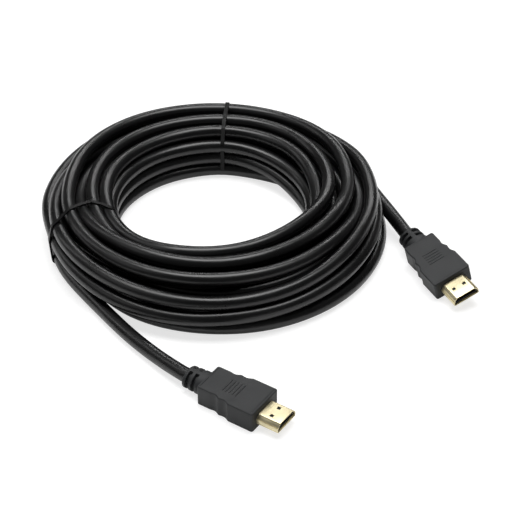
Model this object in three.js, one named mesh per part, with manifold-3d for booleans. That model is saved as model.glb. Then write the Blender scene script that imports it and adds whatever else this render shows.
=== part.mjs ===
// A coiled digital video cable with a nineteen-way plug on each end, held by two twist ties.
// Millimetres, +Z up. The coil lies flat, and its axis is the working origin until the last line.
import * as THREE from "three";
import { mergeVertices } from "three/addons/utils/BufferGeometryUtils.js";
import Module from "manifold-3d";

const wasm = await Module();
wasm.setup();

// Cable and coil
const CABLE_DIAMETER = 7.0;
const BORE_RADIUS = 47.7;
const STRAND_PITCH = 7.8;
const LAYER_RISE = 6.6;
const LAYER_STRANDS = [5, 4, 5, 4];
const CREASE_DEPTH = 2.2;
const STRAND_SIDES = 8;
const COIL_SEGMENTS = 48;

// Cable tails, from the coil to the plug, as offsets from the coil's axis
const TAIL_A_ROUTE = [
  [-47.1, -76.1, 3.5],
  [-38.5, -87.8, 3.5],
  [-33.1, -94.1, 3.5],
  [-27.4, -100.6, 3.6],
  [-22.2, -106.4, 4.0],
  [-16.8, -112.4, 4.7],
];
const TAIL_B_ROUTE = [
  [85.6, 8.9, 10.3],
  [89.5, -0.3, 10.2],
  [92.7, -7.8, 9.9],
];
const TAIL_SIDES = 12;
const TAIL_STEP = 12;
const TAIL_LEAD = 5;

// Where each plug lies: its front shoulder's centre, its heading, its nose-down pitch and its roll
const PLUG_A_POSE = { x: 25.2, y: -142.4, yaw: -34.0, pitch: 0, roll: 0 };
const PLUG_B_POSE = { x: 116.0, y: -54.8, yaw: -62.9, pitch: 2.0, roll: 17.0 };

// Plug body
const BODY_LENGTH = 30.0;
const BODY_WIDTH = 19.8;
const BODY_HEIGHT = 10.4;
const BODY_EDGE = 0.5;
const TAIL_END_WIDTH = 16.0;
const SCOOP_START = 12.8;
const CUSP_AT = 18.6;
const CUSP_INSET = 0.9;
const SCOOP_END = 23.8;
const SCOOP_DEPTH = 0.7;
const SCOOP_POINTS = 5;

// Strain relief behind the body
const NECK_DIAMETER = 10.0;
const NECK_LENGTH = 3.0;
const SLOT_COUNT = 2;
const SLOT_WIDTH = 1.4;
const SLOT_DEPTH = 1.1;
const COLLAR_WIDTH = 1.4;
const COLLAR_STEP = 0.35;
const RIB_WIDTH = 1.8;
const RELIEF_SEGMENTS = 24;

// Metal shell, narrow side up
const SHELL_WIDTH = 13.9;
const SHELL_HEIGHT = 4.45;
const SHELL_TOP_WIDTH = 10.6;
const SHELL_SHOULDER = 2.35;
const SHELL_CORNER = 0.45;
const SHELL_WALL = 0.35;
const SHELL_REACH = 11.2;
const SHELL_SEAT = 4.0;
const LATCH_HOLE = 1.5;
const LATCH_SPACING = 4.6;
const LATCH_AT = 4.4;

// Insulator and contacts inside the shell
const INSULATOR_RECESS = 0.9;
const TONGUE_SLOT_HEIGHT = 1.9;
const TONGUE_SLOT_WIDTH = 11.3;
const TONGUE_SLOT_DEPTH = 8.0;
const CONTACT_PITCH = 1.0;
const CONTACT_WIDTH = 0.45;
const CONTACT_THICKNESS = 0.2;
const CONTACT_LENGTH = 6.8;
const CONTACT_SEAT_GAP = 0.1;
const UPPER_CONTACTS = 10;
const LOWER_CONTACTS = 9;

// Twist ties
const TIE_BACK_AT = 86;
const TIE_LEFT_AT = 194.5;
const TIE_WIDTH = 2.2;
const TIE_THICKNESS = 0.8;
const TIE_BITE = 0.4;
const TWIST_LENGTH = 8.0;
const TWIST_STRAND = 1.0;
const TWIST_TURNS = 1.5;
const TWIST_BACK_HEIGHT = 15.0;
const TWIST_LEFT_HEIGHT = 9.0;

// Gap between neighbouring pieces
const CLEARANCE = 0.3;

const strandRadius = CABLE_DIAMETER / 2;
const widestLayer = Math.max(...LAYER_STRANDS);
const topLayer = LAYER_STRANDS.length - 1;
const degrees = THREE.MathUtils.degToRad;

const materials = {
  jacket: new THREE.MeshStandardMaterial({ color: 0x141515, roughness: 0.36 }),
  overmould: new THREE.MeshStandardMaterial({ color: 0x3c3e3f, roughness: 0.62 }),
  shell: new THREE.MeshStandardMaterial({ color: 0xe4d9a6, roughness: 0.28, metalness: 1 }),
  insulator: new THREE.MeshStandardMaterial({ color: 0x101010, roughness: 0.5 }),
  contact: new THREE.MeshStandardMaterial({ color: 0xd9b45a, roughness: 0.3, metalness: 1 }),
  tie: new THREE.MeshStandardMaterial({ color: 0x0d0d0d, roughness: 0.45 }),
};

function solidFrom(geometry) {
  const bare = geometry.clone();
  bare.deleteAttribute("normal");
  bare.deleteAttribute("uv");
  const merged = mergeVertices(bare, 1e-4);
  return new wasm.Manifold(
    new wasm.Mesh({
      numProp: 3,
      vertProperties: new Float32Array(merged.attributes.position.array),
      triVerts: new Uint32Array(merged.index.array),
    }),
  );
}

function geometryFrom(solid) {
  const mesh = solid.getMesh();
  const positions = new Float32Array(mesh.numVert * 3);
  for (let i = 0; i < mesh.numVert; i += 1) {
    const start = i * mesh.numProp;
    positions.set(mesh.vertProperties.subarray(start, start + 3), i * 3);
  }
  const geometry = new THREE.BufferGeometry();
  geometry.setAttribute("position", new THREE.BufferAttribute(positions, 3));
  geometry.setIndex(new THREE.BufferAttribute(mesh.triVerts, 1));
  geometry.computeVertexNormals();
  return geometry;
}

function piece(name, geometry, material) {
  const mesh = new THREE.Mesh(geometry, material);
  mesh.name = name;
  return mesh;
}

// Centre of one strand in the coil's section: x is its distance from the coil's axis, y its height
function strandCentre(layer, index) {
  const inset = (widestLayer - LAYER_STRANDS[layer]) / 2;
  const across = BORE_RADIUS + strandRadius + (inset + index) * STRAND_PITCH;
  return new THREE.Vector2(across, strandRadius + layer * LAYER_RISE);
}

// The strands on the outside of the stack, anticlockwise from the bottom inner one
function boundaryStrands() {
  const whole = (row) => Array.from({ length: LAYER_STRANDS[row] }, (_, i) => strandCentre(row, i));
  const between = Array.from({ length: Math.max(topLayer - 1, 0) }, (_, i) => i + 1);
  const outerEnds = between.map((row) => strandCentre(row, LAYER_STRANDS[row] - 1));
  const innerEnds = between.map((row) => strandCentre(row, 0)).reverse();
  return [...whole(0), ...outerEnds, ...whole(topLayer).reverse(), ...innerEnds];
}

// The crease between two neighbouring strands, a little outside the line that joins them
function crease(from, to) {
  const along = to.clone().sub(from).normalize();
  const outward = new THREE.Vector2(along.y, -along.x);
  return from.clone().add(to).multiplyScalar(0.5).addScaledVector(outward, strandRadius - CREASE_DEPTH);
}

// Section of the whole stack of strands, closed, anticlockwise, each strand a polygon with flats down and up
function stackOutline() {
  const strands = boundaryStrands();
  const step = (2 * Math.PI) / STRAND_SIDES;
  const reach = strandRadius / Math.cos(step / 2);
  const points = [];
  strands.forEach((centre, i) => {
    const before = crease(strands[(i + strands.length - 1) % strands.length], centre);
    const after = crease(centre, strands[(i + 1) % strands.length]);
    const start = before.clone().sub(centre).angle();
    let end = after.clone().sub(centre).angle();
    if (end < start) end += 2 * Math.PI;
    points.push(before);
    for (let k = Math.ceil(start / step - 0.5); (k + 0.5) * step < end; k += 1) {
      const angle = (k + 0.5) * step;
      if (angle - start < step / 3 || end - angle < step / 3) continue;
      points.push(new THREE.Vector2(Math.cos(angle), Math.sin(angle)).multiplyScalar(reach).add(centre));
    }
  });
  points.push(points[0].clone());
  return points;
}

// Path of a band pulled tight round the stack, at a given distance from the corner strands' centres
function bandOutline(reach) {
  const raised = TIE_THICKNESS + strandRadius - TIE_BITE;
  const shoulder = Math.max(topLayer - 1, 0);
  const last = (row) => LAYER_STRANDS[row] - 1;
  const corners = [
    strandCentre(0, 0).setY(raised),
    strandCentre(0, last(0)).setY(raised),
    strandCentre(shoulder, last(shoulder)),
    strandCentre(topLayer, last(topLayer)),
    strandCentre(topLayer, 0),
    strandCentre(shoulder, 0),
  ];
  const points = [];
  corners.forEach((centre, i) => {
    const before = corners[(i + corners.length - 1) % corners.length];
    const after = corners[(i + 1) % corners.length];
    const start = centre.clone().sub(before).angle() - Math.PI / 2;
    let turn = after.clone().sub(centre).angle() - Math.PI / 2 - start;
    while (turn < 0) turn += 2 * Math.PI;
    const parts = Math.max(1, Math.ceil(turn / degrees(25)));
    for (let k = 0; k <= parts; k += 1) {
      const angle = start + (turn * k) / parts;
      points.push(new THREE.Vector2(Math.cos(angle), Math.sin(angle)).multiplyScalar(reach).add(centre));
    }
  });
  return points;
}

// A flat band round the coil's section, standing at an angle round the coil
function bandGeometry(innerReach, outerReach, width, angle) {
  const shape = new THREE.Shape(bandOutline(outerReach));
  shape.holes.push(new THREE.Path(bandOutline(innerReach)));
  const geometry = new THREE.ExtrudeGeometry(shape, { depth: width, bevelEnabled: false });
  geometry.translate(0, 0, -width / 2);
  geometry.rotateX(Math.PI / 2);
  geometry.rotateZ(degrees(angle));
  return geometry;
}

const bandInner = strandRadius - TIE_BITE;
const bandOuter = bandInner + TIE_THICKNESS;

// The tie's two ends twisted together: a two-lobed bar, turned about its own length
function twistGeometry() {
  const lobe = TWIST_STRAND / 2;
  const outline = new THREE.Shape();
  outline.absarc(lobe, 0, lobe, degrees(-120), degrees(120), false);
  outline.absarc(-lobe, 0, lobe, degrees(60), degrees(300), false);
  const geometry = new THREE.ExtrudeGeometry(outline, {
    depth: TWIST_LENGTH,
    steps: 8,
    curveSegments: 3,
    bevelEnabled: false,
  });
  const spots = geometry.attributes.position;
  for (let i = 0; i < spots.count; i += 1) {
    const turn = (2 * Math.PI * TWIST_TURNS * spots.getZ(i)) / TWIST_LENGTH;
    const spot = new THREE.Vector2(spots.getX(i), spots.getY(i)).rotateAround(new THREE.Vector2(), turn);
    spots.setXY(i, spot.x, spot.y);
  }
  geometry.computeVertexNormals();
  return geometry;
}

// side is 1 for a twist outside the coil and -1 for one in its bore
function twistTie(name, angle, side, height) {
  const band = solidFrom(bandGeometry(bandInner, bandOuter, TIE_WIDTH, angle));
  const corner = side > 0 ? strandCentre(0, LAYER_STRANDS[0] - 1) : strandCentre(0, 0);
  const outside = corner.x + side * (bandOuter + TWIST_STRAND - TIE_THICKNESS / 2);
  const twist = twistGeometry();
  twist.translate(0, 0, -TIE_WIDTH / 2);
  twist.rotateX(Math.PI / 2);
  twist.translate(outside, 0, height);
  twist.rotateZ(degrees(angle));
  return piece(name, geometryFrom(band.add(solidFrom(twist))), materials.tie);
}

function coil() {
  const ring = new THREE.LatheGeometry(stackOutline(), COIL_SEGMENTS);
  ring.rotateX(Math.PI / 2);
  let solid = solidFrom(ring);
  for (const angle of [TIE_BACK_AT, TIE_LEFT_AT]) {
    const room = bandGeometry(bandInner - CLEARANCE, CABLE_DIAMETER, TIE_WIDTH + 2 * CLEARANCE, angle);
    solid = solid.subtract(solidFrom(room));
  }
  return piece("cable_coil", geometryFrom(solid), materials.jacket);
}

function tail(name, route, end, heading) {
  const lead = end.clone().addScaledVector(heading, -CLEARANCE);
  const straight = lead.clone().addScaledVector(heading, -TAIL_LEAD);
  const points = [...route.map((spot) => new THREE.Vector3(...spot)), straight, lead];
  const path = new THREE.CatmullRomCurve3(points, false, "centripetal");
  const section = new THREE.Shape(
    Array.from({ length: TAIL_SIDES }, (_, i) => {
      const angle = (2 * Math.PI * (i + 0.5)) / TAIL_SIDES;
      return new THREE.Vector2(Math.cos(angle), Math.sin(angle)).multiplyScalar(strandRadius);
    }),
  );
  const steps = Math.max(3, Math.round(path.getLength() / TAIL_STEP));
  const geometry = new THREE.ExtrudeGeometry(section, { steps, extrudePath: path, bevelEnabled: false });
  return piece(name, geometry, materials.jacket);
}

// Points on a shallow scoop between two points of the body's outline
function scoop(from, to) {
  const along = to.clone().sub(from);
  const inward = new THREE.Vector2(along.y, -along.x).normalize();
  return Array.from({ length: SCOOP_POINTS }, (_, i) => {
    const share = (i + 1) / (SCOOP_POINTS + 1);
    const depth = 4 * share * (1 - share) * SCOOP_DEPTH;
    return from.clone().addScaledVector(along, share).addScaledVector(inward, -depth);
  });
}

// Plan of the plug body: full width in front, two scoops with a cusp between, then a narrower back
function bodyOutline() {
  const front = BODY_WIDTH / 2;
  const back = TAIL_END_WIDTH / 2;
  const wide = new THREE.Vector2(-SCOOP_START, front);
  const cusp = new THREE.Vector2(-CUSP_AT, front - CUSP_INSET);
  const narrow = new THREE.Vector2(-SCOOP_END, back);
  const left = [
    new THREE.Vector2(0, front),
    wide,
    ...scoop(wide, cusp),
    cusp,
    ...scoop(cusp, narrow),
    narrow,
    new THREE.Vector2(-BODY_LENGTH, back),
  ];
  const right = left.map((spot) => new THREE.Vector2(spot.x, -spot.y)).reverse();
  return [...left, ...right];
}

// Radii of the strain relief from inside the body to its end, about the plug's axis
function reliefProfile() {
  const points = [new THREE.Vector2(0, -BODY_EDGE * 2), new THREE.Vector2(NECK_DIAMETER / 2, -BODY_EDGE * 2)];
  let along = NECK_LENGTH;
  let radius = NECK_DIAMETER / 2;
  points.push(new THREE.Vector2(radius, along));
  for (let i = 0; i < SLOT_COUNT; i += 1) {
    points.push(new THREE.Vector2(radius - SLOT_DEPTH, along));
    along += SLOT_WIDTH;
    radius -= COLLAR_STEP;
    points.push(new THREE.Vector2(radius + COLLAR_STEP - SLOT_DEPTH, along));
    points.push(new THREE.Vector2(radius, along));
    along += COLLAR_WIDTH;
    points.push(new THREE.Vector2(radius, along));
  }
  points.push(new THREE.Vector2(0, along));
  return points;
}

const reliefLength = NECK_LENGTH + SLOT_COUNT * (SLOT_WIDTH + COLLAR_WIDTH);

function strainRelief() {
  const round = new THREE.LatheGeometry(reliefProfile(), RELIEF_SEGMENTS);
  round.rotateZ(Math.PI / 2);
  round.translate(-BODY_LENGTH, 0, 0);
  let solid = solidFrom(round);
  const ribLength = reliefLength - COLLAR_WIDTH;
  const lastRadius = NECK_DIAMETER / 2 - SLOT_COUNT * COLLAR_STEP;
  for (const side of [-1, 1]) {
    const ribHeight = lastRadius / 2;
    const rib = new THREE.BoxGeometry(ribLength, RIB_WIDTH, ribHeight);
    rib.translate(-BODY_LENGTH - ribLength / 2, 0, side * (lastRadius - ribHeight / 2));
    solid = solid.add(solidFrom(rib));
  }
  return solid;
}

// Section of the shell seen from its mouth: flat wide bottom, upright sides, then hollow shoulders to a narrow top
function shellOutline(inset) {
  const half = SHELL_WIDTH / 2 - inset;
  const top = SHELL_TOP_WIDTH / 2 - inset;
  const low = -SHELL_HEIGHT / 2 + inset;
  const high = SHELL_HEIGHT / 2 - inset;
  const shoulder = -SHELL_HEIGHT / 2 + SHELL_SHOULDER - inset / 2;
  const reach = half - top;
  const right = [
    new THREE.Vector2(half - SHELL_CORNER, low),
    new THREE.Vector2(half - SHELL_CORNER * 0.3, low + SHELL_CORNER * 0.3),
    new THREE.Vector2(half, low + SHELL_CORNER),
    new THREE.Vector2(half, shoulder),
    new THREE.Vector2(top + reach * 0.7, shoulder + (high - shoulder) * 0.2),
    new THREE.Vector2(top + reach * 0.25, shoulder + (high - shoulder) * 0.5),
    new THREE.Vector2(top, high - SHELL_CORNER),
    new THREE.Vector2(top - SHELL_CORNER * 0.6, high),
  ];
  const left = right.map((spot) => new THREE.Vector2(-spot.x, spot.y)).reverse();
  return [...right, ...left];
}

// Extrudes an outline seen from the mouth, from one place along the plug to another
function alongPlug(shape, from, to) {
  const geometry = new THREE.ExtrudeGeometry(shape, { depth: to - from, bevelEnabled: false });
  geometry.rotateX(Math.PI / 2);
  geometry.rotateZ(Math.PI / 2);
  geometry.translate(from, 0, 0);
  return geometry;
}

function overmould() {
  const block = new THREE.ExtrudeGeometry(new THREE.Shape(bodyOutline()), {
    depth: BODY_HEIGHT - 2 * BODY_EDGE,
    bevelThickness: BODY_EDGE,
    bevelSize: BODY_EDGE,
    bevelOffset: -BODY_EDGE,
    bevelSegments: 2,
  });
  block.translate(0, 0, -BODY_HEIGHT / 2 + BODY_EDGE);
  const pocket = alongPlug(new THREE.Shape(shellOutline(-CLEARANCE)), -SHELL_SEAT, BODY_EDGE * 2);
  return solidFrom(block).add(strainRelief()).subtract(solidFrom(pocket));
}

function shell() {
  const wall = new THREE.Shape(shellOutline(0));
  wall.holes.push(new THREE.Path(shellOutline(SHELL_WALL)));
  let solid = solidFrom(alongPlug(wall, -SHELL_SEAT + CLEARANCE, SHELL_REACH));
  for (const side of [-1, 1]) {
    const hole = new THREE.BoxGeometry(LATCH_HOLE, LATCH_HOLE, 4 * SHELL_WALL);
    hole.translate(LATCH_AT, (side * LATCH_SPACING) / 2, SHELL_HEIGHT / 2 - SHELL_WALL / 2);
    solid = solid.subtract(solidFrom(hole));
  }
  return solid;
}

const insulatorFront = SHELL_REACH - INSULATOR_RECESS;

function insulator() {
  const block = alongPlug(
    new THREE.Shape(shellOutline(SHELL_WALL + CLEARANCE)),
    -SHELL_SEAT + CLEARANCE,
    insulatorFront,
  );
  const slotRun = TONGUE_SLOT_DEPTH + SHELL_WALL;
  const slot = new THREE.BoxGeometry(slotRun, TONGUE_SLOT_WIDTH, TONGUE_SLOT_HEIGHT);
  slot.translate(insulatorFront - TONGUE_SLOT_DEPTH + slotRun / 2, 0, 0);
  return solidFrom(block).subtract(solidFrom(slot));
}

function contacts(prefix) {
  const rows = [
    { count: UPPER_CONTACTS, side: 1 },
    { count: LOWER_CONTACTS, side: -1 },
  ];
  const strips = [];
  for (const { count, side } of rows) {
    for (let i = 0; i < count; i += 1) {
      const strip = new THREE.BoxGeometry(CONTACT_LENGTH, CONTACT_WIDTH, CONTACT_THICKNESS);
      const number = String(strips.length + 1).padStart(2, "0");
      const mesh = piece(`${prefix}_contact_${number}`, strip, materials.contact);
      mesh.position.set(
        insulatorFront - TONGUE_SLOT_DEPTH + CLEARANCE + CONTACT_LENGTH / 2,
        (i - (count - 1) / 2) * CONTACT_PITCH,
        side * (TONGUE_SLOT_HEIGHT / 2 - CONTACT_SEAT_GAP - CONTACT_THICKNESS / 2),
      );
      strips.push(mesh);
    }
  }
  return strips;
}

function plug(prefix, pose) {
  const group = new THREE.Group();
  group.add(piece(`${prefix}_overmould`, geometryFrom(overmould()), materials.overmould));
  group.add(piece(`${prefix}_shell`, geometryFrom(shell()), materials.shell));
  group.add(piece(`${prefix}_insulator`, geometryFrom(insulator()), materials.insulator));
  group.add(...contacts(prefix));
  group.rotation.set(degrees(pose.roll), degrees(pose.pitch), degrees(pose.yaw), "ZYX");
  group.position.set(pose.x, pose.y, 0);
  group.updateMatrixWorld(true);
  group.position.z = -new THREE.Box3().setFromObject(group, true).min.z;
  group.updateMatrixWorld(true);
  return group;
}

function tailTo(name, route, group) {
  const end = group.localToWorld(new THREE.Vector3(-BODY_LENGTH - reliefLength, 0, 0));
  const heading = new THREE.Vector3(1, 0, 0).transformDirection(group.matrixWorld);
  return tail(name, route, end, heading);
}

const plugA = plug("plug_a", PLUG_A_POSE);
const plugB = plug("plug_b", PLUG_B_POSE);
const cable = new THREE.Group();
cable.add(
  coil(),
  tailTo("cable_tail_a", TAIL_A_ROUTE, plugA),
  tailTo("cable_tail_b", TAIL_B_ROUTE, plugB),
  twistTie("tie_back", TIE_BACK_AT, 1, TWIST_BACK_HEIGHT),
  twistTie("tie_left", TIE_LEFT_AT, -1, TWIST_LEFT_HEIGHT),
  plugA,
  plugB,
);

// The origin moves to the middle of the whole cable's box, on the surface that it lies on
const extent = new THREE.Box3().setFromObject(cable, true);
const middle = extent.getCenter(new THREE.Vector3());
cable.position.set(-middle.x, -middle.y, -extent.min.z);
cable.updateMatrixWorld(true);

export default cable;
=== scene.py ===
"""Looks of a coiled video cable: the wound jacket, its two twist ties and a moulded plug on each end.

All lengths are in metres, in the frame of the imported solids. The coil's turns are laid in a loop, and then
settled against each other, the ties and the table.
"""
import logging
import math
from dataclasses import dataclass, field
from enum import Enum

import bmesh
import bpy
import numpy as np
from mathutils import Euler, Matrix, Vector


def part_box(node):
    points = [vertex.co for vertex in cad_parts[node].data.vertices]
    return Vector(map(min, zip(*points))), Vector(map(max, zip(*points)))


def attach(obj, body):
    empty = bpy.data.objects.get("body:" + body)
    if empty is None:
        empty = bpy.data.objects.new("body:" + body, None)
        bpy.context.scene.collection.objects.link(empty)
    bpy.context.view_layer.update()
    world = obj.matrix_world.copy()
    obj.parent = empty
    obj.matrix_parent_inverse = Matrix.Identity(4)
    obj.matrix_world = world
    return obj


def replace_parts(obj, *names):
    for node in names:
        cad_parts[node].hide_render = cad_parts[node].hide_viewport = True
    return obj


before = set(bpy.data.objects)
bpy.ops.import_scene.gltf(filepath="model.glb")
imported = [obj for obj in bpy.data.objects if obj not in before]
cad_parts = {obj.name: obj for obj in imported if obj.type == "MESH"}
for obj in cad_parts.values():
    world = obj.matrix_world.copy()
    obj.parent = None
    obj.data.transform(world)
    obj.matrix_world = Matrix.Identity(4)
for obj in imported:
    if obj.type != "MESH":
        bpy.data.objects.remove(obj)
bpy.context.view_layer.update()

log = logging.getLogger("video_cable")
BODY = "root"
Skin = tuple[np.ndarray, list[tuple[int, ...]]]
Points = tuple[tuple[float, float, float], ...]


class Side(Enum):
    """Which side of the bundle a tie's twisted ends lie on."""

    OUTSIDE = 1
    BORE = -1


def fill(node: bpy.types.Node, values: dict[str, object]) -> None:
    """Sets a node's inputs by their names."""
    for name, value in values.items():
        node.inputs[name].default_value = value


def linked(name: str, data: bpy.types.ID) -> bpy.types.Object:
    """Makes an object of a mesh, lamp or camera and puts it in the scene."""
    made = bpy.data.objects.new(name, data)
    bpy.context.scene.collection.objects.link(made)
    return made


# Finishes


@dataclass(frozen=True)
class Finish:
    """A plain procedural surface that the other finishes refine.

    Attributes:
        name: material name.
        colour: linear base colour.
        roughness: lowest and highest roughness over the surface.
        metallic: 0 for plastic, 1 for metal.
        specular: strength of the mirrored light, 0.5 for plain plastic.
        grain: size of the fine surface grain, in grains a metre.
        relief: depth of the fine grain, in metres.
        mottle: share by which the colour varies over the surface.
        patch: size of the patches that it varies in, in patches a metre.
    """

    name: str
    colour: tuple[float, float, float]
    roughness: tuple[float, float]
    metallic: float = 0.0
    specular: float = 0.5
    grain: float = 2500.0
    relief: float = 0.00002
    mottle: float = 0.15
    patch: float = 90.0

    def material(self) -> bpy.types.Material:
        """Builds the material.

        Returns:
            The finished node material.
        """
        made = bpy.data.materials.new(self.name)
        made.use_nodes = True
        made.diffuse_color = (*self.colour, 1.0)
        tree = made.node_tree
        shader = tree.nodes["Principled BSDF"]
        fill(shader, {"Metallic": self.metallic, "Specular IOR Level": self.specular})
        patches = self.noise(tree, self.patch, 4.0)
        spread = tree.nodes.new("ShaderNodeMapRange")
        least, most = self.roughness
        fill(spread, {"From Min": 0.3, "From Max": 0.7, "To Min": least, "To Max": most})
        tree.links.new(patches, spread.inputs["Value"])
        tree.links.new(spread.outputs["Result"], shader.inputs["Roughness"])
        tint = tree.nodes.new("ShaderNodeMix")
        tint.data_type = "RGBA"
        fill(tint, {"A": (*(c * (1 - self.mottle) for c in self.colour), 1),
                    "B": (*(min(1, c * (1 + self.mottle)) for c in self.colour), 1)})
        tree.links.new(patches, tint.inputs["Factor"])
        tree.links.new(tint.outputs["Result"], shader.inputs["Base Color"])
        bump = self.bump(tree, self.noise(tree, self.grain, 2.0), 1.0, self.relief)
        tree.links.new(bump.outputs["Normal"], shader.inputs["Normal"])
        self.refine(tree, bump)
        return made

    def noise(self, tree: bpy.types.NodeTree, scale: float, detail: float) -> bpy.types.NodeSocket:
        """Adds a noise texture over object space.

        Args:
            tree: the material's nodes.
            scale: noise cells a metre.
            detail: octaves of the noise.

        Returns:
            The noise's output.
        """
        place = tree.nodes.new("ShaderNodeTexCoord")
        cloud = tree.nodes.new("ShaderNodeTexNoise")
        fill(cloud, {"Scale": scale, "Detail": detail})
        tree.links.new(place.outputs["Object"], cloud.inputs["Vector"])
        return cloud.outputs["Fac"]

    def bump(self, tree: bpy.types.NodeTree, height: bpy.types.NodeSocket, strength: float,
             depth: float) -> bpy.types.Node:
        """Adds a relief.

        Args:
            tree: the material's nodes.
            height: what drives it.
            strength: share of it that shows.
            depth: its depth.

        Returns:
            The bump node.
        """
        relief = tree.nodes.new("ShaderNodeBump")
        fill(relief, {"Strength": strength, "Distance": depth})
        tree.links.new(height, relief.inputs["Height"])
        return relief

    def refine(self, tree: bpy.types.NodeTree, bump: bpy.types.Node) -> None:
        """Adds what a finish has beyond grain and mottle; a plain finish adds nothing."""


@dataclass(frozen=True)
class JacketFinish(Finish):
    """Satin black PVC drawn over twisted cores, with long soft waves that break up its highlights.

    Attributes:
        wave: waves a metre along the jacket.
        wave_relief: depth of the long waves, in metres.
    """

    wave: float = 60.0
    wave_relief: float = 0.00018

    def refine(self, tree: bpy.types.NodeTree, bump: bpy.types.Node) -> None:
        """Adds the long waves under the fine grain."""
        under = self.bump(tree, self.noise(tree, self.wave, 1.0), 0.6, self.wave_relief)
        tree.links.new(under.outputs["Normal"], bump.inputs["Normal"])


JACKET = JacketFinish("black_jacket", (0.0030, 0.0030, 0.0032), (0.26, 0.36), specular=0.40, grain=1800,
                      relief=0.000006, mottle=0.25, patch=70)
OVERMOULD = Finish("grey_overmould", (0.017, 0.018, 0.019), (0.50, 0.62), specular=0.34, grain=4200,
                   relief=0.00003, mottle=0.10)
PLATING = Finish("pale_gold_plating", (0.62, 0.555, 0.365), (0.38, 0.50), metallic=1.0, grain=1200,
                 relief=0.000006, mottle=0.05, patch=160)
INSULATOR = Finish("black_insulator", (0.012, 0.012, 0.012), (0.40, 0.55), grain=3000, relief=0.00001)
CONTACT = Finish("gold_contact", (0.80, 0.60, 0.26), (0.22, 0.34), metallic=1.0, grain=3000,
                 relief=0.000004, mottle=0.06)
TIE = Finish("black_tie", (0.002, 0.002, 0.002), (0.40, 0.52), specular=0.16, grain=2600, relief=0.00002,
             mottle=0.2)


# Mesh helpers


def mesh_piece(name: str, vertices: np.ndarray, faces: list[tuple[int, ...]], finish: bpy.types.Material,
               slot: str, sharp: float = 40.0) -> bpy.types.Object:
    """Makes a smooth-shaded piece.

    Args:
        name: piece name.
        vertices: points, one row each.
        faces: vertex indices of each face.
        finish: its material.
        slot: not used.
        sharp: edges that turn by more degrees than this stay crisp.

    Returns:
        The new object.
    """
    mesh = bpy.data.meshes.new(name)
    mesh.from_pydata([tuple(map(float, v)) for v in vertices], [], faces)
    mesh.validate()
    work = bmesh.new()
    work.from_mesh(mesh)
    bmesh.ops.recalc_face_normals(work, faces=work.faces)
    work.to_mesh(mesh)
    work.free()
    mesh.polygons.foreach_set("use_smooth", [True] * len(mesh.polygons))
    mesh.set_sharp_from_angle(angle=math.radians(sharp))
    mesh.materials.append(finish)
    made = linked(name, mesh)
    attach(made, BODY)
    log.info("%s: %d faces", name, len(mesh.polygons))
    return made


def loft(rings: np.ndarray, closed_run: bool = False, caps: bool = True) -> Skin:
    """Joins rings of points into a skin.

    Args:
        rings: points as ring, place on the ring, coordinate.
        closed_run: whether the last ring joins the first.
        caps: whether the first and last ring are closed with a face.

    Returns:
        Vertices and faces.
    """
    count, around = rings.shape[:2]
    faces = []
    for i in range(count if closed_run else count - 1):
        low, high = i * around, ((i + 1) % count) * around
        for j in range(around):
            k = (j + 1) % around
            faces.append((low + j, low + k, high + k, high + j))
    if caps and not closed_run:
        faces.append(tuple(range(around))[::-1])
        faces.append(tuple((count - 1) * around + j for j in range(around)))
    return rings.reshape(-1, 3), faces


def sweep(path: np.ndarray, section: np.ndarray, side: np.ndarray, up: np.ndarray,
          closed_run: bool = False) -> Skin:
    """Carries a flat section along a path.

    Args:
        path: points of the path.
        section: the section's points, across and up, or one such section for each path point.
        side: the section's across direction at each path point.
        up: the section's up direction at each path point.
        closed_run: whether the path joins its own start.

    Returns:
        Vertices and faces.
    """
    sections = np.broadcast_to(section, (len(path), *section.shape[-2:]))
    rings = path[:, None] + sections[..., :1] * side[:, None] + sections[..., 1:] * up[:, None]
    return loft(rings, closed_run)


def merged(*skins: Skin) -> Skin:
    """Puts skins together.

    Args:
        *skins: vertices and faces of each skin.

    Returns:
        Vertices and faces of all of them.
    """
    vertices, faces = [], []
    for points, joined in skins:
        first = sum(map(len, vertices))
        faces += [tuple(i + first for i in face) for face in joined]
        vertices.append(points)
    return np.concatenate(vertices), faces


def unit(vectors: np.ndarray) -> np.ndarray:
    """Scales each vector to length one."""
    return vectors / np.linalg.norm(vectors, axis=-1, keepdims=True)


def run_along(points: np.ndarray) -> np.ndarray:
    """Distance of each point from the first one, along the line through them."""
    return np.concatenate([[0], np.cumsum(np.linalg.norm(np.diff(points, axis=0), axis=1))])


# How the turns lie

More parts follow.
